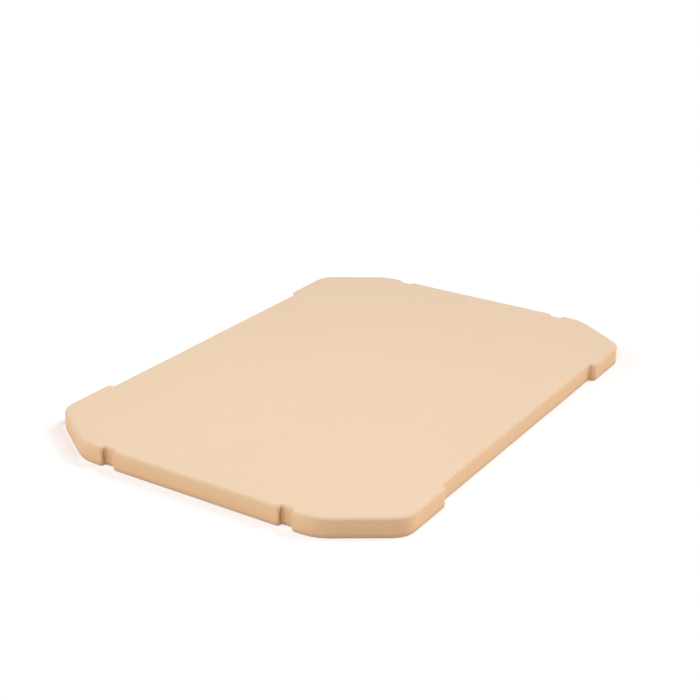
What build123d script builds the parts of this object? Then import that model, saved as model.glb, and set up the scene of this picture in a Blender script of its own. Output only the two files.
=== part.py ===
from build123d import *

import os

# Pizza stone: one slab of ceramic, pressed to shape in a die and fired.
# X runs across the stone, Y along it and Z up. The origin is the middle of its underside.
# All sizes are in millimetres.

# The slab
slab_width = 343.0
slab_length = 483.0
slab_thickness = 18.0

# The four cut corners: how far each flank reaches along the short side and along the long side, and the
# rounding at each of its ends
corner_cut_across = 57.5
corner_cut_along = 39.4
short_end_radius = 37.5
long_end_radius = 21.0

# The shallow recess in each long side, which leaves a tab at each corner
tab_length = 98.6
recess_depth = 5.5
recess_lip_radius = 4.2
recess_root_radius = 1.1

# The rounded edge round the top face and the small one round the underside
top_edge_radius = 2.9
bottom_edge_radius = 1.7

# The two notches in each short side, the straight land between each of them and its corner's cut, the
# rounding of their inner corners and the smaller one all round their mouths
notch_land = 21.3
notch_width = 10.9
notch_depth = 4.5
notch_root_radius = 1.4
notch_mouth_radius = 1.6

# The most of a wall or of a larger rounding that a rounding takes up
rounding_share = 0.98


def wall_roundings(lip_radius, root_radius, wall_depth):
    """Radii at the lip and the root of a wall, both drawn in alike where the wall is too low for them."""
    room = rounding_share * wall_depth
    fit_share = min(room, lip_radius + root_radius) / (lip_radius + root_radius)
    return lip_radius * fit_share, root_radius * fit_share


recess_lip, recess_root = wall_roundings(recess_lip_radius, recess_root_radius, recess_depth)


def quarter_outline():
    """Corner points and roundings of a quarter of the plan, from the short side round to the long side."""
    half_width = slab_width / 2
    half_length = slab_length / 2
    return [
        ((half_width - corner_cut_across, half_length), short_end_radius),
        ((half_width, half_length - corner_cut_along), long_end_radius),
        ((half_width, half_length - tab_length), recess_lip),
        ((half_width - recess_depth, half_length - tab_length), recess_root),
    ]


def slab_outline():
    """The closed plan line without its notches: the quarter laid out in all four quadrants in turn."""
    quarter = quarter_outline()
    corners = list(quarter)
    corners += [((x, -y), radius) for (x, y), radius in reversed(quarter)]
    corners += [((-x, -y), radius) for (x, y), radius in quarter]
    corners += [((-x, y), radius) for (x, y), radius in reversed(quarter)]
    points = [point for point, radius in corners]
    radii = [radius for point, radius in corners]
    return FilletPolyline(*points, radius=radii, close=True)


def rounded_blank():
    """The plan line raised to the full thickness, with the edges of both faces rounded."""
    blank = extrude(make_face(slab_outline()), amount=slab_thickness, dir=(0, 0, 1))
    top_radius = min(top_edge_radius, rounding_share * recess_lip)
    top_edges = blank.faces().sort_by(Axis.Z)[-1].outer_wire().edges()
    blank = fillet(top_edges, top_radius)
    bottom_radius = min(bottom_edge_radius, rounding_share * recess_lip)
    bottom_edges = blank.faces().sort_by(Axis.Z)[0].outer_wire().edges()
    return fillet(bottom_edges, bottom_radius)


def notch_tool(side, end):
    """The block that forms one notch. Side and end are 1 or -1 and pick the quadrant."""
    notch_middle = slab_width / 2 - corner_cut_across - notch_land - notch_width / 2
    plan = Rectangle(notch_width, 2 * notch_depth)
    inner_corners = plan.vertices().group_by(Axis.Y)[0 if end > 0 else -1]
    plan = fillet(inner_corners, notch_root_radius)
    block = extrude(plan, amount=slab_thickness, dir=(0, 0, 1))
    return Pos(side * notch_middle, end * slab_length / 2, 0) * block


def stone_slab():
    """The slab: the blank with its four notches, and the edge all round each notch's mouth rounded."""
    blank = rounded_blank()
    slab = blank
    for end in (1, -1):
        for side in (1, -1):
            slab = slab - notch_tool(side, end)
    # The upright edges at a notch's inner corners run the full thickness and stay as they are
    longest_mouth_edge = slab_thickness - top_edge_radius
    cut_edges = new_edges(blank, combined=slab)
    mouth_edges = [edge for edge in cut_edges if edge.bounding_box().size.Z < longest_mouth_edge]
    return fillet(mouth_edges, min(notch_mouth_radius, rounding_share * bottom_edge_radius))


os.makedirs("parts", exist_ok=True)
export_step(stone_slab(), "parts/stone_slab.step")
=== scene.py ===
# %% [markdown]
# # A pizza stone
#
# This lesson dresses one slab of fired ceramic. The slab's plan is a rectangle with its four corners cut off.
# Each short side has two small notches, and each long side is set back a little along its middle.
# The first cell loads the frame, which is the measured model of the slab, in metres with Z up.
# Everything that follows is made round it, in the same place and at the same size.

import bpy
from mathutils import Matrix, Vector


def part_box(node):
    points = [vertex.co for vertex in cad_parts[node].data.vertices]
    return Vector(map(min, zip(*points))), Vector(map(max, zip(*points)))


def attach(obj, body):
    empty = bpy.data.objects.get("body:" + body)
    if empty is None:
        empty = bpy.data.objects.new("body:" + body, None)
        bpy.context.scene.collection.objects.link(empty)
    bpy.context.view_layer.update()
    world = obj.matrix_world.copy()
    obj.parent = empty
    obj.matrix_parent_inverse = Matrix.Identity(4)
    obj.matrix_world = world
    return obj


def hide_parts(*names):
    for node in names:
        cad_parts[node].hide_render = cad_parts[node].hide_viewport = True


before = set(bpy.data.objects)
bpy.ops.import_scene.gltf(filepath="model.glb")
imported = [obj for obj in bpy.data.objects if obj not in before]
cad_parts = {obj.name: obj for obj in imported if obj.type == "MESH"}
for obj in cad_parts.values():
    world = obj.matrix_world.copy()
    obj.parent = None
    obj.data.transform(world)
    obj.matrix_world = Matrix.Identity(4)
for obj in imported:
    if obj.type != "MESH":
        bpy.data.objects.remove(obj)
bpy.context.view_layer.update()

# %% [markdown]
# ## The slab's sizes
#
# The overall sizes come from the frame, so the dressed slab can't drift away from it. The sizes of the cut
# corners, recesses and notches have names of their own, as they would on a drawing.

# %% Sizes of the slab
import math

import bpy
import numpy as np
from mathutils import Matrix, Vector
from mathutils.geometry import delaunay_2d_cdt

mm = 0.001
slab_low, slab_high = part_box("stone_slab")
half_width = slab_high.x
half_length = slab_high.y
thickness = slab_high.z - slab_low.z

corner_cut_across = 57.5 * mm
corner_cut_along = 39.4 * mm
short_end_radius = 37.5 * mm
long_end_radius = 21.0 * mm

tab_length = 98.6 * mm
recess_depth = 5.5 * mm
recess_lip_radius = 4.2 * mm
recess_root_radius = 1.1 * mm

notch_land = 21.3 * mm
notch_width = 10.9 * mm
notch_depth = 4.5 * mm
notch_root_radius = 1.4 * mm
notch_mouth_radius = 1.6 * mm

top_edge_radius = 2.9 * mm
bottom_edge_radius = 1.7 * mm
slab_size = (2 * half_width, 2 * half_length, thickness)
print("slab in mm:", [round(size / mm, 1) for size in slab_size])

# %% [markdown]
# ## The plan line
#
# A real slab is pressed in a steel die, so its side wall is one smooth band that follows the plan line.
# The line could be drawn as a Blender curve and extruded. Here it is worked out with numpy instead, because
# the same points will also carry the rounded edges and bound the lattice that fills each face.
#
# The line is made of straight runs joined by arcs. Points on a run crowd together towards its two ends, where
# the shape changes most. A step that starts short and grows steadily with the distance from the nearer end
# does that. One point is set down each time that the sum of length over step grows by one. The points are
# kept as shares of the run, so two lines that differ only in their roundings match point for point.

# %% Points along a straight run
shortest_step = 0.7 * mm
longest_step = 4.5 * mm
step_growth = 0.45
run_samples = 400


def run_shares(length):
    """Shares of a run, where step = shortest + growth * distance to the nearer end, up to the longest."""
    along = np.linspace(0.0, length, run_samples)
    from_end = np.minimum(along, length - along)
    per_length = 1 / np.minimum(longest_step, shortest_step + step_growth * from_end)
    pieces = (per_length[1:] + per_length[:-1]) / 2 * np.diff(along)
    counted = np.concatenate(([0.0], np.cumsum(pieces)))
    count = max(1, round(counted[-1]))
    return np.interp(np.linspace(0.0, counted[-1], count, endpoint=False), counted, along / length)


print("points along 40 mm:", len(run_shares(40 * mm)))

# %% [markdown]
# Walking along the line, the heading stays the same on a run and turns steadily on an arc. The outward normal
# is the heading turned a quarter turn to the right, as long as the walk goes round the slab
# counter-clockwise.

# %% A line of runs and arcs
arc_step = math.radians(14.0)


def rounded_line(corners, radii):
    """Points and headings along straight runs that are joined by arcs.

    An arc of radius r that replaces a corner with turn a starts r * tan(a / 2) before the corner. On it the
    heading h goes evenly from the old one to the new one, and the point is the arc's start plus
    r * (sin h - sin h0, cos h0 - cos h) for a left turn, and minus that for a right turn.
    """
    corners = np.array(corners)
    runs = np.diff(corners, axis=0)
    headings = np.arctan2(runs[:, 1], runs[:, 0])
    turns = (np.diff(headings) + np.pi) % (2 * np.pi) - np.pi
    setbacks = np.array(radii) * np.tan(np.abs(turns) / 2)
    before = np.concatenate(([0.0], setbacks))
    after = np.concatenate((setbacks, [0.0]))
    full_lengths = np.hypot(runs[:, 0], runs[:, 1])
    lengths = full_lengths - before - after
    here = corners[0]
    points, angles = [], []
    for i, length in enumerate(lengths):
        ahead = np.array([np.cos(headings[i]), np.sin(headings[i])])
        shares = run_shares(full_lengths[i])
        points.append(here + length * shares[:, None] * ahead)
        angles.append(np.full(len(shares), headings[i]))
        here = here + length * ahead
        if i < len(turns):
            count = max(2, math.ceil(abs(turns[i]) / arc_step))
            h = headings[i] + np.linspace(0.0, turns[i], count + 1)
            side = np.sign(turns[i]) * radii[i]
            arc = np.stack([np.sin(h) - np.sin(h[0]), np.cos(h[0]) - np.cos(h)], axis=1)
            arc_points = here + side * arc
            points.append(arc_points[:-1])
            angles.append(h[:-1])
            here = arc_points[-1]
    points.append(here[None])
    angles.append(headings[-1:])
    return np.concatenate(points), np.concatenate(angles)


print("steps on an arc in degrees, at most:", round(math.degrees(arc_step), 1))

# %% [markdown]
# The plan is the same in all four quarters, so two lines are enough. One runs along a long side and one along
# a short side, each from the middle of one cut corner to the middle of the next. Turned half round,
# they give the other two sides.

# %% One long side and one short side
flank_middle = (half_width - corner_cut_across / 2, half_length - corner_cut_along / 2)
tab_end = half_length - tab_length
recess_wall = half_width - recess_depth
notch_far = half_width - corner_cut_across - notch_land
notch_near = notch_far - notch_width
notch_floor = half_length - notch_depth

upper_long = [
    (recess_wall, tab_end),
    (half_width, tab_end),
    (half_width, half_length - corner_cut_along),
    flank_middle,
]
upper_long_radii = [recess_root_radius, recess_lip_radius, long_end_radius]
right_short = [
    flank_middle,
    (half_width - corner_cut_across, half_length),
    (notch_far, half_length),
    (notch_far, notch_floor),
    (notch_near, notch_floor),
    (notch_near, half_length),
]
long_corners = [(x, -y) for x, y in reversed(upper_long)] + upper_long
short_corners = right_short + [(-x, y) for x, y in reversed(right_short)]
long_points, long_headings = rounded_line(long_corners, upper_long_radii[::-1] + upper_long_radii)


def short_side(lip_radius):
    """Points and headings along a short side whose notches have lips of this radius."""
    radii = [short_end_radius, lip_radius, notch_root_radius, notch_root_radius, lip_radius]
    return rounded_line(short_corners, radii + radii[::-1])


short_points, short_headings = short_side(notch_mouth_radius)
print("points along a long side and a short side:", len(long_points), len(short_points))

# %% [markdown]
# Half way up the wall the lips of the notches are fairly sharp. Towards the top face and towards the foot
# they flare, because the rounded edges of the slab run on round them, and a rounded edge can't turn a corner
# that is tighter than itself. So there are two plan lines: one for the middle of the wall, and one for its
# two ends. They match point for point and turn by the same angles, so they share their normals.

# %% The closed plan lines and their normals
flared_lip_radius = 3.05 * mm


def closed_line(long_part, short_part):
    """A long side and a short side, and both turned half round, as one closed line of points."""
    return np.concatenate((long_part[:-1], short_part[:-1], -long_part[:-1], -short_part[:-1]))


plan_points = closed_line(long_points, short_points)
flared_points = closed_line(long_points, short_side(flared_lip_radius)[0])
half_round = np.concatenate((long_headings[:-1], short_headings[:-1]))
plan_headings = np.concatenate((half_round, half_round + np.pi))
plan_normals = np.stack([np.sin(plan_headings), -np.cos(plan_headings)], axis=1)
around = len(plan_points)
print("points round the plan:", around)

# %% [markdown]
# ## The edge profile
#
# Now a profile is carried round the plan line. It starts at the edge of the underside, goes round the small
# lower rounding, up the wall and round the larger upper rounding, and ends at the edge of the top face.
#
# Each step of the profile is one ring of the mesh. A ring has a height, an inset from the plan line, and one
# tilt of the surface: -90 degrees faces down and 90 degrees faces up.

# %% Rings of the profile
lower_arc_rings = 5
wall_rings = 8
upper_arc_rings = 9

lower_tilt = np.linspace(-np.pi / 2, 0.0, lower_arc_rings + 1)
upper_tilt = np.linspace(0.0, np.pi / 2, upper_arc_rings + 1)
up_the_wall = np.linspace(0.0, 1.0, wall_rings + 2)[1:-1]

straight_wall = thickness - bottom_edge_radius - top_edge_radius
ring_height = np.concatenate(
    (
        bottom_edge_radius * (1 + np.sin(lower_tilt)),
        bottom_edge_radius + up_the_wall * straight_wall,
        thickness - top_edge_radius * (1 - np.sin(upper_tilt)),
    )
)
ring_inset = np.concatenate(
    (
        bottom_edge_radius * (1 - np.cos(lower_tilt)),
        np.zeros(wall_rings),
        top_edge_radius * (1 - np.cos(upper_tilt)),
    )
)
ring_tilt = np.concatenate((lower_tilt, np.zeros(wall_rings), upper_tilt))
rings = len(ring_tilt)
print("rings from the underside's edge to the top's edge:", rings)

# %% [markdown]
# A ring's points are the plan line moved in along its own normal. Towards both ends of the wall the line
# passes smoothly into the flared one. The share of the flare is 1 - u * u * (3 - 2 * u), where u grows with
# the distance from the nearer face, from nought at the height of the lower rounding to one at the flare's
# reach. All rings come out as one array, with a ring for each step of the profile and a point for each step
# round the plan.

# %% Points and normals of all rings
flare_reach = 6.5 * mm

from_face = np.minimum(ring_height, thickness - ring_height)
unflared = np.clip((from_face - bottom_edge_radius) / (flare_reach - bottom_edge_radius), 0.0, 1.0)
flare = 1 - unflared**2 * (3 - 2 * unflared)
flared_plan = plan_points + flare[:, None, None] * (flared_points - plan_points)
ring_plan = flared_plan - ring_inset[:, None, None] * plan_normals
ring_level = np.broadcast_to(ring_height[:, None, None], (rings, around, 1))
ring_points = np.concatenate((ring_plan, ring_level), axis=2)
level_part = np.cos(ring_tilt)[:, None, None] * plan_normals
upright_part = np.broadcast_to(np.sin(ring_tilt)[:, None, None], (rings, around, 1))
ring_normals = np.concatenate((level_part, upright_part), axis=2)
print("points on the rings:", rings * around)

# %% [markdown]
# ## Filling the two faces
#
# The faces could be left as one flat polygon each, but then they couldn't carry any relief. Rings of quads
# that shrink towards the middle would do on a plain rectangle, but beside a notch they would fold over. So
# each face gets a lattice of points in staggered rows. Points too near the edge are left out, and a Delaunay
# triangulation, which keeps the triangles as full as it can, joins the others to each other and to the edge.
#
# Blender has that triangulation ready as delaunay_2d_cdt. Its output type 1 keeps only the triangles inside
# the edge, and its last value says how near two points have to be to count as one.

# %% Points and triangles of the faces
lattice_gap = 4.5 * mm
edge_gap = 2.5 * mm
inside_the_edge = 1
same_place = 1e-9


def face_lattice(edge):
    """Staggered points inside a face's edge, and the distance of each from the nearest point of the edge.

    Rows lie sqrt(3) / 2 gaps apart, and every other row is moved by half a gap, which makes even triangles. A
    point is inside if the outward normal at its nearest point of the edge points away from it.
    """
    along_row = np.arange(-half_width, half_width, lattice_gap)
    row_places = np.arange(-half_length, half_length, lattice_gap * math.sqrt(3) / 2)
    stagger = np.arange(len(row_places)) % 2 * lattice_gap / 2
    lattice_x = along_row + stagger[:, None]
    lattice_y = np.broadcast_to(row_places[:, None], lattice_x.shape)
    points = np.stack([lattice_x.ravel(), lattice_y.ravel()], axis=1)
    nearest = ((points[:, None] - edge) ** 2).sum(axis=2).argmin(axis=1)
    from_edge = points - edge[nearest]
    distance = np.hypot(from_edge[:, 0], from_edge[:, 1])
    inside = (from_edge * plan_normals[nearest]).sum(axis=1) < 0
    kept = inside & (distance > edge_gap)
    return points[kept], distance[kept]


def face_triangles(edge, inner):
    """Counter-clockwise triangles between a face's edge points, numbered first, and its inner points."""
    places = np.concatenate((edge, inner)).tolist()
    found = delaunay_2d_cdt(places, [], [list(range(around))], inside_the_edge, same_place)
    triangles, first_numbers = found[2], np.concatenate(found[3])
    return first_numbers[np.array(triangles)]


low_inner, low_distance = face_lattice(ring_plan[0])
top_inner = face_lattice(ring_plan[-1])[0]
low_triangles = face_triangles(ring_plan[0], low_inner)
top_triangles = face_triangles(ring_plan[-1], top_inner)
print("inner points and triangles of the top:", len(top_inner), len(top_triangles))

# %% [markdown]
# The inner points get the height of their face. Then all points go into one array: first the rings, then the
# inner points of the underside, then those of the top. The normals go into another in the same order.

# %% All points of the surface
low_points = np.insert(low_inner, 2, 0.0, axis=1)
top_points = np.insert(top_inner, 2, thickness, axis=1)
surface_points = np.concatenate((ring_points.reshape(-1, 3), low_points, top_points))
low_normals = np.tile([0.0, 0.0, -1.0], (len(low_inner), 1))
top_normals = np.tile([0.0, 0.0, 1.0], (len(top_inner), 1))
surface_normals = np.concatenate((ring_normals.reshape(-1, 3), low_normals, top_normals))
print("points on the whole surface:", len(surface_points))

# %% [markdown]
# ## The fired surface isn't perfectly flat
#
# Pressing and firing leave the faces and walls very slightly uneven, by about a tenth of a millimetre.
# It could be left to a bump in the material, but in the mesh it also shows along the edges. The unevenness
# comes from w, a sum of plane waves in random directions, as a dip of depth * (1 + w) / 2. It only ever takes
# material away, so the slab never grows past its measured size.

# %% Unevenness of the surface
swell_depth = 0.14 * mm
swell_wavelength = 75.0 * mm
ripple_depth = 0.05 * mm
ripple_wavelength = 19.0 * mm
wave_count = 28


def waves(points, wavelength, seed):
    """A smooth random field between about -1 and 1: the sum of plane waves sin(k . p + phase), evened out.

    Each wave vector k has the length 2 pi / wavelength, give or take a third, and a random direction. The sum
    is divided by the square root of the number of waves, and tanh keeps it between -1 and 1.
    """
    rng = np.random.default_rng(seed)
    directions = rng.normal(size=(wave_count, 3))
    directions /= np.linalg.norm(directions, axis=1)[:, None]
    lengths = 2 * np.pi / wavelength * rng.uniform(2 / 3, 4 / 3, wave_count)
    phases = rng.uniform(0, 2 * np.pi, wave_count)
    total = np.sin(points @ (directions * lengths[:, None]).T + phases).sum(axis=1)
    return np.tanh(total / math.sqrt(wave_count))


swell = swell_depth * (1 + waves(surface_points, swell_wavelength, seed=11)) / 2
ripple = ripple_depth * (1 + waves(surface_points, ripple_wavelength, seed=12)) / 2
worn_points = surface_points - (swell + ripple)[:, None] * surface_normals
print("deepest dip in mm:", round((swell + ripple).max() / mm, 3))

# %% [markdown]
# ## From points to a mesh
#
# Quads join each ring to the next, and the triangles of a face share the points of the ring that they meet.
# So the slab is one closed skin with no seam to weld. The underside's triangles are turned round, so that
# they face down.

# %% Quads of the wall and triangles of the faces
ring_number = np.arange(rings * around).reshape(rings, around)
next_number = np.roll(ring_number, -1, axis=1)
band_corners = [ring_number[:-1], next_number[:-1], next_number[1:], ring_number[1:]]
quads = np.stack(band_corners, axis=2).reshape(-1, 4)


def surface_number(number, ring, first_inner):
    """Numbers on the whole surface, from a face's own numbers, which begin with the points of its ring.

    A number n on the ring becomes n + ring * around, and any other becomes n - around + first_inner.
    """
    return np.where(number < around, number + ring * around, number - around + first_inner)


low_faces = surface_number(low_triangles, 0, rings * around)[:, ::-1]
top_faces = surface_number(top_triangles, rings - 1, rings * around + len(low_inner))
print("quads:", len(quads), "triangles:", len(low_faces) + len(top_faces))

# %% [markdown]
# Blender takes the points and faces as plain lists. The new slab is shaded smooth and stays at the origin. It
# replaces the slab of the frame and rides on the frame's one body.

# %% The slab as a Blender mesh
slab_mesh = bpy.data.meshes.new("baked_slab")
slab_mesh.from_pydata(worn_points.tolist(), [], quads.tolist() + low_faces.tolist() + top_faces.tolist())
slab_mesh.polygons.foreach_set("use_smooth", np.ones(len(slab_mesh.polygons), bool))
slab_mesh.update()
slab_mesh.validate()

slab = bpy.data.objects.new("baked_slab", slab_mesh)
bpy.context.scene.collection.objects.link(slab)
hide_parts("stone_slab")
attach(slab, "root")
print("faces of the slab:", len(slab_mesh.polygons))

# %% [markdown]
# ## Two masks that travel with the mesh
#
# The material will need to know two things that it can't see for itself, so the mesh carries them as
# attributes. The first is how far the surface belongs to the wall. It is one on the wall and round the lower
# edge, and fades to nought round the upper edge and a few millimetres in on the underside.

# %% The wall mask
underside_reach = 7.0 * mm


def store(name, values):
    """Writes one number for each point of the slab into an attribute of its mesh."""
    layer = slab_mesh.attributes.new(name, "FLOAT", "POINT")
    layer.data.foreach_set("value", values.astype(np.float32))
    print(name, "from", round(float(values.min()), 2), "to", round(float(values.max()), 2))


ring_wall = np.cos(np.maximum(ring_tilt, 0.0))
low_wall = (1 - low_distance / underside_reach).clip(0.0, 1.0)
top_zeros = np.zeros(len(top_inner))
store("wall_share", np.concatenate((np.repeat(ring_wall, around), low_wall, top_zeros)))

# %% [markdown]
# The second mask is how much of its level view each point of the wall loses to the slab itself. It is nought
# on an open wall and more than a half in the corners of a notch. It could be painted by hand, but looking out
# from each point of the plan in many directions gives the same on all sides. Round the upper edge it fades
# with the wall's own mask. The material uses it to paint shade into the notches and the corners of the
# recesses.

# %% The hollow mask
look_count = 48
nearest_look = 0.01 * mm
farthest_look = 40.0 * mm


def cross(first, second):
    """The cross product of plan vectors, x1 * y2 - y1 * x2."""
    return first[..., 0] * second[..., 1] - first[..., 1] * second[..., 0]


def blocked_view(points, normals):
    """The share of each point's level view that the closed line blocks.

    Looks go out at even angles up to a quarter turn to either side of the normal, and each counts by the
    cosine of its angle. A look from p along d meets the edge from a to b where p + t d = a + s (b - a). That
    gives t = (a - p) x (b - a) / (d x (b - a)) and s = (a - p) x d / (d x (b - a)). The look is blocked if s
    is between 0 and 1 and t is neither too near nor too far.
    """
    edges = np.roll(points, -1, axis=0) - points
    to_edge = points[None] - points[:, None]
    edge_part = cross(to_edge, edges[None])
    turned = np.stack([-normals[:, 1], normals[:, 0]], axis=1)
    angles = (np.arange(look_count) + 0.5) / look_count * np.pi - np.pi / 2
    blocked = np.zeros(len(points))
    for angle in angles:
        look = (math.cos(angle) * normals + math.sin(angle) * turned)[:, None]
        slant = cross(look, edges[None])
        slant[slant == 0] = np.inf
        t = edge_part / slant
        s = cross(to_edge, look) / slant
        meets = (t > nearest_look) & (t < farthest_look) & (s >= 0) & (s <= 1)
        blocked += math.cos(angle) * meets.any(axis=1)
    return blocked / np.cos(angles).sum()


hollow = blocked_view(plan_points, plan_normals)
ring_hollow = ring_wall[:, None] * hollow
low_zeros = np.zeros(len(low_inner))
store("hollow", np.concatenate((ring_hollow.ravel(), low_zeros, top_zeros)))

# %% [markdown]
# ## Helpers for materials
#
# A material is a graph of small nodes. Building it by hand in the Shader Editor is quick to learn, but a
# script can be read, checked and changed again. Two helpers keep it short: one adds a node and fills its
# sockets, and one starts a node group, which is a reusable effect with named inputs and outputs.

# %% Node helpers
FLOAT, VECTOR = "NodeSocketFloat", "NodeSocketVector"


def add_node(tree, kind, settings=None, **sockets):
    """Adds a node. A socket's value is a number, a colour, or another node's output to link from.

    A socket is named by its own name with underscores for spaces, or by an underscore and its number.
    """
    node = tree.nodes.new(kind)
    for name, value in (settings or {}).items():
        setattr(node, name, value)
    for name, value in sockets.items():
        socket = node.inputs[int(name[1:])] if name[1:].isdigit() else node.inputs[name.replace("_", " ")]
        if isinstance(value, bpy.types.NodeSocket):
            tree.links.new(value, socket)
        else:
            socket.default_value = value
    return node


def math_node(tree, operation, first, second, third=0.0):
    """The output of one step of arithmetic on numbers or on other nodes' outputs."""
    node = add_node(tree, "ShaderNodeMath", {"operation": operation}, _0=first, _1=second, _2=third)
    return node.outputs[0]


def new_group(name, inputs, outputs):
    """Starts a node group and gives its tree, its input node and its output node, with nothing between."""
    tree = bpy.data.node_groups.new(name, "ShaderNodeTree")
    for socket, kind in inputs:
        tree.interface.new_socket(socket, in_out="INPUT", socket_type=kind)
    for socket, kind in outputs:
        tree.interface.new_socket(socket, in_out="OUTPUT", socket_type=kind)
    return tree, tree.nodes.new("NodeGroupInput"), tree.nodes.new("NodeGroupOutput")


print("kinds of group sockets:", FLOAT, VECTOR)

# %% [markdown]
# ## Grains in the ceramic
#
# The clay is mixed with grog, which is ceramic that was fired once and crushed. It shows as tiny grains a
# little lighter or darker than the rest, and a few dark iron specks show among them. One group makes such
# grains at any size. Voronoi cells give each grain a place, and each cell's random colour decides
# whether it holds a grain at all and how big that grain is.

# %% Node group: scattered grains
grain_core = 0.7
grain_rim = 1.1

grains, grains_in, grains_out = new_group(
    "scattered_grains",
    [("Vector", VECTOR), ("Cells per metre", FLOAT), ("Share", FLOAT), ("Size", FLOAT)],
    [("Mask", FLOAT)],
)
cells = add_node(
    grains,
    "ShaderNodeTexVoronoi",
    {"feature": "F1", "voronoi_dimensions": "3D"},
    Vector=grains_in.outputs["Vector"],
    Scale=grains_in.outputs["Cells per metre"],
)
cell_random = add_node(grains, "ShaderNodeSeparateColor", Color=cells.outputs["Color"])
has_grain = math_node(grains, "LESS_THAN", cell_random.outputs["Red"], grains_in.outputs["Share"])
grain_size = math_node(grains, "MULTIPLY", cell_random.outputs["Green"], grains_in.outputs["Size"])
from_centre = math_node(grains, "DIVIDE", cells.outputs["Distance"], grain_size)
roundness = add_node(
    grains,
    "ShaderNodeMapRange",
    {"interpolation_type": "SMOOTHSTEP"},
    Value=from_centre,
    From_Min=grain_core,
    From_Max=grain_rim,
    To_Min=1.0,
    To_Max=0.0,
)
grain_mask = math_node(grains, "MULTIPLY", roundness.outputs["Result"], has_grain)
grains.links.new(grain_mask, grains_out.inputs["Mask"])
print("group:", grains.name)

# %% [markdown]
# ## The fired ceramic
#
# Seen from a step away the stone is an even, matte buff. The walls are coloured a little warmer and deeper
# than the faces, and warmer still towards the underside: that is painted shade, for the way the shaded walls
# look. Up close it has the tooth of fine sandpaper. A flat colour with one noise over it would look like
# plastic. So the colour is built in layers from large to small, and the small layers feed the roughness and
# the bump as well.
#
# The first two helpers below work on whichever node tree is being built. The other two make the patterns of
# the ceramic, in metres on the slab itself.

# %% Helpers for one material
ceramic = bpy.data.materials.new("fired_ceramic")
ceramic.use_nodes = True
tree = ceramic.node_tree
tree.nodes.clear()
coordinates = add_node(tree, "ShaderNodeTexCoord").outputs["Object"]


def mix(factor, first, second):
    """A colour between two others, by a factor from 0 to 1.

    A Mix node has sockets for each kind of data. Those for colours are its inputs 6 and 7 and its output 2.
    """
    return add_node(tree, "ShaderNodeMix", {"data_type": "RGBA"}, _0=factor, _6=first, _7=second).outputs[2]


def fit(value, low, high, to_low=0.0, to_high=1.0, kind="LINEAR"):
    """A value read off a ramp that is flat beyond both ends, and straight or S-shaped between them."""
    ends = {"From_Min": low, "From_Max": high, "To_Min": to_low, "To_Max": to_high}
    return add_node(tree, "ShaderNodeMapRange", {"interpolation_type": kind}, Value=value, **ends).outputs[0]


def noise(scale, detail, roughness=0.5):
    """A cloudy noise on object coordinates, with that many features per metre."""
    settings = {"Scale": scale, "Detail": detail, "Roughness": roughness}
    return add_node(tree, "ShaderNodeTexNoise", Vector=coordinates, **settings).outputs["Fac"]


def scatter(cells_per_metre, share, size):
    """A mask of scattered grains, from the group."""
    settings = {"Cells_per_metre": cells_per_metre, "Share": share, "Size": size}
    node = add_node(tree, "ShaderNodeGroup", {"node_tree": grains}, Vector=coordinates, **settings)
    return node.outputs["Mask"]


print("material:", ceramic.name)

# %% [markdown]
# The walls are coloured warmer and deeper than the faces, and warmest low down. This is painted shade, for
# the way the shaded walls look. The notches and the corners of the recesses are painted a darker brown, which
# is painted shade where the slab blocks the light. A thin darker line along the foot is a painted contact
# shadow.

# %% Faces, and walls with painted shade, in the hollows and along the foot
face_colour = (0.768, 0.580, 0.410, 1.0)
# The walls' colours are painted shade: warmer and deeper than the faces, and more so low down.
painted_shade_wall_colour = (0.870, 0.592, 0.362, 1.0)
painted_shade_low_wall_colour = (0.865, 0.505, 0.248, 1.0)
# Painted shade in the notches and the corners of the recesses.
painted_hollow_shade_colour = (0.570, 0.295, 0.088, 1.0)
# A painted contact shadow along the foot.
painted_foot_shade_colour = (0.610, 0.420, 0.282, 1.0)
foot_shade_top = 4.8 * mm
foot_shade_full = 1.2 * mm
foot_shade_share = 0.80
hollow_start, hollow_full = 0.30, 0.62
hollow_top_share = 0.90

wall = add_node(tree, "ShaderNodeAttribute", {"attribute_name": "wall_share"}).outputs["Fac"]
hollow_mask = add_node(tree, "ShaderNodeAttribute", {"attribute_name": "hollow"}).outputs["Fac"]
height = add_node(tree, "ShaderNodeSeparateXYZ", Vector=coordinates).outputs["Z"]

# Painted shade on the walls, deepest towards the foot.
painted_wall_shade = mix(fit(height, 0.0, thickness, 1.0, 0.0), painted_shade_wall_colour, painted_shade_low_wall_colour)
# Painted shade where the slab blocks the view, from the hollow mask.
painted_hollow_shade = math_node(
    tree,
    "MULTIPLY",
    fit(hollow_mask, hollow_start, hollow_full, kind="SMOOTHSTEP"),
    fit(height, thickness / 2, thickness - bottom_edge_radius, 1.0, hollow_top_share),
)
painted_wall_shade = mix(painted_hollow_shade, painted_wall_shade, painted_hollow_shade_colour)
# A painted contact shadow along the foot, darkest at the very bottom.
painted_foot_shade = fit(height, foot_shade_full, foot_shade_top, foot_shade_share, 0.0, kind="SMOOTHSTEP")
painted_wall_shade = mix(painted_foot_shade, painted_wall_shade, painted_foot_shade_colour)
body = mix(wall, face_colour, painted_wall_shade)
print("face and wall colours:", face_colour[:3], painted_shade_wall_colour[:3])

# %% [markdown]
# The kiln's heat leaves faint clouds a hand's breadth wide, and the clay's own mix shows as a soft mottling a
# few millimetres wide. Both only deepen the colour a little.

# %% Kiln clouds and mottling
cloud_colour = (0.740, 0.530, 0.365, 1.0)
clouds_per_metre = 9.0
cloud_start, cloud_full = 0.42, 0.72
cloud_share = 0.22
mottles_per_metre = 140.0
mottle_start, mottle_full = 0.35, 0.75
mottle_share = 0.16

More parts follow.
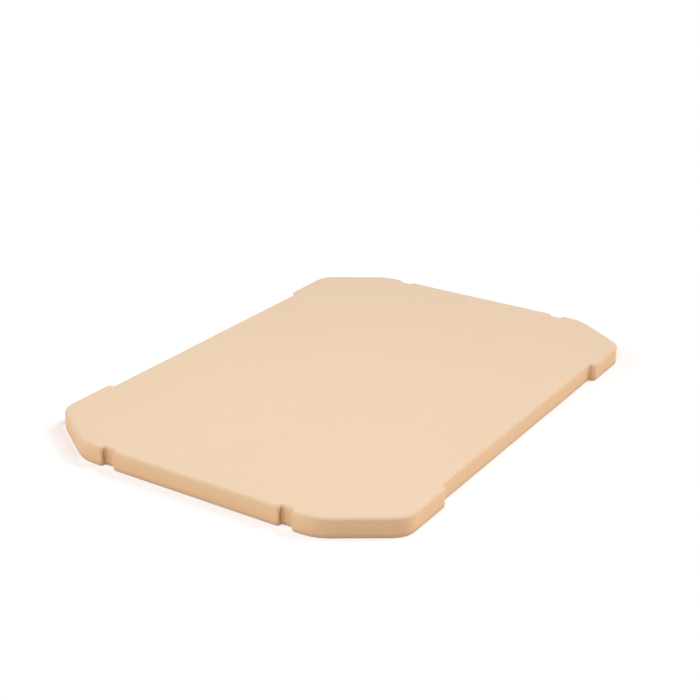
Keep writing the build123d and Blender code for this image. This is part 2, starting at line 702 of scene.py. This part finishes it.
clouds = fit(noise(clouds_per_metre, detail=3.0), cloud_start, cloud_full, 0.0, cloud_share)
body = mix(clouds, body, cloud_colour)
mottle = noise(mottles_per_metre, detail=4.0, roughness=0.6)
body = mix(fit(mottle, mottle_start, mottle_full, 0.0, mottle_share), body, cloud_colour)
print("clouds and mottles per metre:", clouds_per_metre, mottles_per_metre)

# %% [markdown]
# Pale grog is the commonest grain, brown grog is scarcer, and iron specks are rare and small.

# %% Grog and iron
pale_grog_colour = (0.900, 0.745, 0.570, 1.0)
brown_grog_colour = (0.480, 0.300, 0.170, 1.0)
iron_colour = (0.160, 0.090, 0.050, 1.0)
pale_grog_strength = 0.22
brown_grog_strength = 0.20
iron_strength = 0.60

pale_grog = scatter(cells_per_metre=900.0, share=0.35, size=0.50)
brown_grog = scatter(cells_per_metre=620.0, share=0.08, size=0.28)
iron = scatter(cells_per_metre=300.0, share=0.03, size=0.09)
body = mix(math_node(tree, "MULTIPLY", pale_grog, pale_grog_strength), body, pale_grog_colour)
body = mix(math_node(tree, "MULTIPLY", brown_grog, brown_grog_strength), body, brown_grog_colour)
body = mix(math_node(tree, "MULTIPLY", iron, iron_strength), body, iron_colour)
print("grain strengths:", pale_grog_strength, brown_grog_strength, iron_strength)

# %% [markdown]
# Unglazed ceramic is very rough, and the softer spots of the mottling are a little rougher still. Its tooth
# is too fine for the mesh, so three bumps make it: sand over everything, grog that stands up, and open pores.

# %% Roughness and bump
smoothest, roughest = 0.80, 0.92
smoothest_mottle, roughest_mottle = 0.30, 0.70
sand_per_metre = 1500.0
sand_strength, grog_strength, pore_strength = 0.30, 0.30, 0.50
sand_height = 0.06 * mm
grog_height = 0.06 * mm
pore_depth = 0.15 * mm

rough = fit(mottle, smoothest_mottle, roughest_mottle, smoothest, roughest)
sand = noise(sand_per_metre, detail=3.0, roughness=0.65)
pores = scatter(cells_per_metre=640.0, share=0.18, size=0.22)


def bump(height_mask, strength, distance, below=None, inward=False):
    """The normal of a bump that stands up from a mask, or sinks in, on top of another bump's normal."""
    node = add_node(
        tree, "ShaderNodeBump", {"invert": inward}, Strength=strength, Distance=distance, Height=height_mask
    )
    if below is not None:
        tree.links.new(below, node.inputs["Normal"])
    return node.outputs["Normal"]


tooth = bump(sand, sand_strength, sand_height)
tooth = bump(pale_grog, grog_strength, grog_height, below=tooth)
tooth = bump(pores, pore_strength, pore_depth, below=tooth, inward=True)
print("roughness from", smoothest, "to", roughest)

# %% [markdown]
# The colour, the roughness and the bumps meet in one Principled shader. A matte ceramic needs nothing more.

# %% The finished ceramic
shader = add_node(tree, "ShaderNodeBsdfPrincipled", Base_Color=body, Roughness=rough, Normal=tooth)
surface = add_node(tree, "ShaderNodeOutputMaterial")
tree.links.new(shader.outputs["BSDF"], surface.inputs["Surface"])
slab_mesh.materials.append(ceramic)
print("nodes in the ceramic:", len(tree.nodes))

# %% [markdown]
# ## The floor
#
# The slab lies on a sheet of white paper. It could simply be a white surface in strong light, but then the
# slab would be too bright as well. Instead the paper has two looks. For the light that bounces about it is
# plain matt white. For the camera it also glows, so that it comes out pure white wherever nothing shades it.
# Its matt share is what still shows the slab's soft shadow.

# %% The floor
floor_half = 6.0
floor_corners = [(x, y, 0.0) for x, y in ((-1, -1), (1, -1), (1, 1), (-1, 1))]
floor_mesh = bpy.data.meshes.new("floor")
floor_mesh.from_pydata((floor_half * np.array(floor_corners)).tolist(), [], [(0, 1, 2, 3)])
floor = bpy.data.objects.new("floor", floor_mesh)
bpy.context.scene.collection.objects.link(floor)
print("floor:", 2 * floor_half, "m wide")

# %% [markdown]
# The matt share has to be strongest near the slab and gone a hand's breadth away, where the paper is only
# white. So the paper needs to know how far each point is from the slab's foot. The plan has straight sides,
# and the distance from a straight side is x or y less a constant. From a cut corner it is the dot product
# with the cut's normal, less a constant. The largest of these is the distance from the whole plan.

# %% How far the paper is from the slab
cut_normal = Vector((corner_cut_along, corner_cut_across, 0.0)).normalized()
cut_distance = cut_normal.dot(Vector((half_width, half_length - corner_cut_along, 0.0)))

paper = bpy.data.materials.new("white_paper")
paper.use_nodes = True
tree = paper.node_tree
tree.nodes.clear()
on_floor = add_node(tree, "ShaderNodeTexCoord").outputs["Object"]
quarter = add_node(tree, "ShaderNodeVectorMath", {"operation": "ABSOLUTE"}, _0=on_floor).outputs["Vector"]
across_cut = add_node(tree, "ShaderNodeVectorMath", {"operation": "DOT_PRODUCT"}, _0=quarter, _1=cut_normal)
quarter_xyz = add_node(tree, "ShaderNodeSeparateXYZ", Vector=quarter).outputs
beside_recess = math_node(tree, "LESS_THAN", quarter_xyz["Y"], tab_end)
long_edge = math_node(tree, "MULTIPLY_ADD", beside_recess, -recess_depth, half_width)
past_long = math_node(tree, "SUBTRACT", quarter_xyz["X"], long_edge)
past_short = math_node(tree, "SUBTRACT", quarter_xyz["Y"], half_length)
past_cut = math_node(tree, "SUBTRACT", across_cut.outputs["Value"], cut_distance)
from_slab = math_node(tree, "MAXIMUM", math_node(tree, "MAXIMUM", past_long, past_short), past_cut)
print("the cut corner lies", round(cut_distance / mm, 1), "mm from the middle")

# %% [markdown]
# The lamps light the open paper to a level L, so a matt share m looks as bright as L * m there. With a glow
# of 1 - L * m beside it the open paper is white, and a shadow can take away only the L * m. The matt share is
# a little less in red, so the shade beside the warm ceramic is warm too. It is much less right at the slab's
# foot, where the shade would otherwise be too dark.

# %% The paper
paper_white = 0.80
lit_level = 0.955
seen_matt = (0.80, 1.00, 0.98, 1.0)
white = (1.0, 1.0, 1.0, 1.0)
black = (0.0, 0.0, 0.0, 1.0)
glow_strength = 1.01
contact_share = 0.28
contact_reach = 4.0 * mm
fade_start, fade_end = 35.0 * mm, 100.0 * mm


def seen_directly():
    """One for rays from the camera and for their reflections, and nought for light that bounces about."""
    path = add_node(tree, "ShaderNodeLightPath").outputs
    seen = math_node(tree, "MAXIMUM", path["Is Camera Ray"], path["Is Glossy Ray"])
    return math_node(tree, "MAXIMUM", seen, path["Is Transmission Ray"])


near_foot = fit(from_slab, 0.0, contact_reach, contact_share, 1.0)
matt_share = math_node(tree, "MULTIPLY", near_foot, fit(from_slab, fade_start, fade_end, 1.0, 0.0))
glow_beside_slab = tuple(1.0 - lit_level * matt for matt in seen_matt[:3]) + (1.0,)

plain_paper = add_node(tree, "ShaderNodeBsdfDiffuse", Color=(paper_white, paper_white, paper_white, 1.0))
seen_paper = add_node(tree, "ShaderNodeBsdfDiffuse", Color=mix(matt_share, black, seen_matt))
paper_glow = add_node(
    tree, "ShaderNodeEmission", Color=mix(matt_share, white, glow_beside_slab), Strength=glow_strength
)
seen_sum = add_node(tree, "ShaderNodeAddShader", _0=seen_paper.outputs[0], _1=paper_glow.outputs[0])
paper_mix = add_node(
    tree, "ShaderNodeMixShader", _0=seen_directly(), _1=plain_paper.outputs[0], _2=seen_sum.outputs[0]
)
paper_out = add_node(tree, "ShaderNodeOutputMaterial")
tree.links.new(paper_mix.outputs[0], paper_out.inputs["Surface"])
floor_mesh.materials.append(paper)
print("nodes in the paper:", len(tree.nodes))

# %% [markdown]
# ## The light
#
# The light is that of a small photo studio. The walls of the room give an even, dim light from all round. The
# camera sees them as pure white, like the paper.

# %% The room
room_light = 0.32
world = bpy.data.worlds.new("studio")
bpy.context.scene.world = world
world.use_nodes = True
tree = world.node_tree
tree.nodes.clear()
room_level = fit(seen_directly(), 0.0, 1.0, room_light, 1.0)
room = add_node(tree, "ShaderNodeBackground", Color=white, Strength=room_level)
room_out = add_node(tree, "ShaderNodeOutputWorld")
tree.links.new(room.outputs[0], room_out.inputs["Surface"])
print("room light:", room_light)

# %% [markdown]
# Behind the right side stand two lamps: a high one, whose shadow falls beside the left corner, and a low,
# wide one that lights the right wall. Another low one stands to the front left, so that the side towards the
# camera is the darkest. A soft box hangs above the front right corner. It is near enough that the top grows a
# little dimmer towards the far left.
#
# Sun lamps with a wide angle stand for the side lamps, because their light is the same all over the floor.

# %% The lamps


def add_lamp(name, kind, towards, energy):
    """A lamp of one kind that shines from a direction onto the origin."""
    lamp = bpy.data.lights.new(name, kind)
    lamp.energy = energy
    holder = bpy.data.objects.new(name, lamp)
    holder.rotation_mode = "QUATERNION"
    holder.rotation_quaternion = towards.to_track_quat("Z", "Y")
    bpy.context.scene.collection.objects.link(holder)
    return holder


def direction(azimuth, elevation):
    """The unit vector (sin a cos e, -cos a cos e, sin e) for an azimuth a and elevation e in degrees.

    Azimuth 0 is -Y, and 90 is +X.
    """
    a, e = math.radians(azimuth), math.radians(elevation)
    return Vector((math.sin(a) * math.cos(e), -math.cos(a) * math.cos(e), math.sin(e)))


def soft_sun(name, azimuth, elevation, strength, spread):
    """A sun lamp whose disc is so wide, by its spread in degrees, that its shadows are soft."""
    holder = add_lamp(name, "SUN", direction(azimuth, elevation), strength)
    holder.data.angle = math.radians(spread)


def soft_box(name, place, size, power):
    """A square lamp at a place above the floor, turned towards the origin and left out of the picture."""
    holder = add_lamp(name, "AREA", Vector(place), power)
    holder.data.shape = "SQUARE"
    holder.data.size = size
    holder.location = place
    holder.visible_camera = False


soft_sun("high_from_right", azimuth=140.0, elevation=45.0, strength=0.80, spread=20.0)
soft_sun("low_from_right", azimuth=140.0, elevation=15.0, strength=1.14, spread=50.0)
soft_sun("low_from_left", azimuth=-48.0, elevation=20.0, strength=1.37, spread=50.0)
soft_box("box_overhead", place=(0.15, -0.20, 0.90), size=0.5, power=3.4)
print("lamps:", [lamp.name for lamp in bpy.data.lights])

# %% [markdown]
# ## The camera
#
# The camera looks down on the front right corner from a little over a metre away. A real camera is seldom
# held quite level, and this one is turned by less than one degree. Its lens is given by the focal length in
# pixels of a square picture, over the picture's width.

# %% The camera
camera_target = Vector((-0.05883, 0.08052, 0.0))
camera_azimuth, camera_elevation = 32.052, 22.650
camera_distance = 1.36744
camera_roll = math.radians(0.877)
picture_width = 700
focal_pixels = 1395.70

back = direction(camera_azimuth, camera_elevation)
level_right = Vector((0.0, 0.0, 1.0)).cross(back).normalized()
level_up = back.cross(level_right)
right = math.cos(camera_roll) * level_right + math.sin(camera_roll) * level_up
up = -math.sin(camera_roll) * level_right + math.cos(camera_roll) * level_up

lens = bpy.data.cameras.new("camera")
lens.sensor_width = 36.0
lens.lens = focal_pixels / picture_width * lens.sensor_width
lens.clip_start = 0.05
lens.clip_end = 50.0
camera = bpy.data.objects.new("camera", lens)
turned = Matrix((right, up, back)).transposed().to_4x4()
camera.matrix_world = Matrix.Translation(camera_target + camera_distance * back) @ turned
bpy.context.scene.collection.objects.link(camera)
bpy.context.scene.camera = camera
bpy.context.scene.view_settings.view_transform = "Standard"
print("lens in mm:", round(lens.lens, 1))
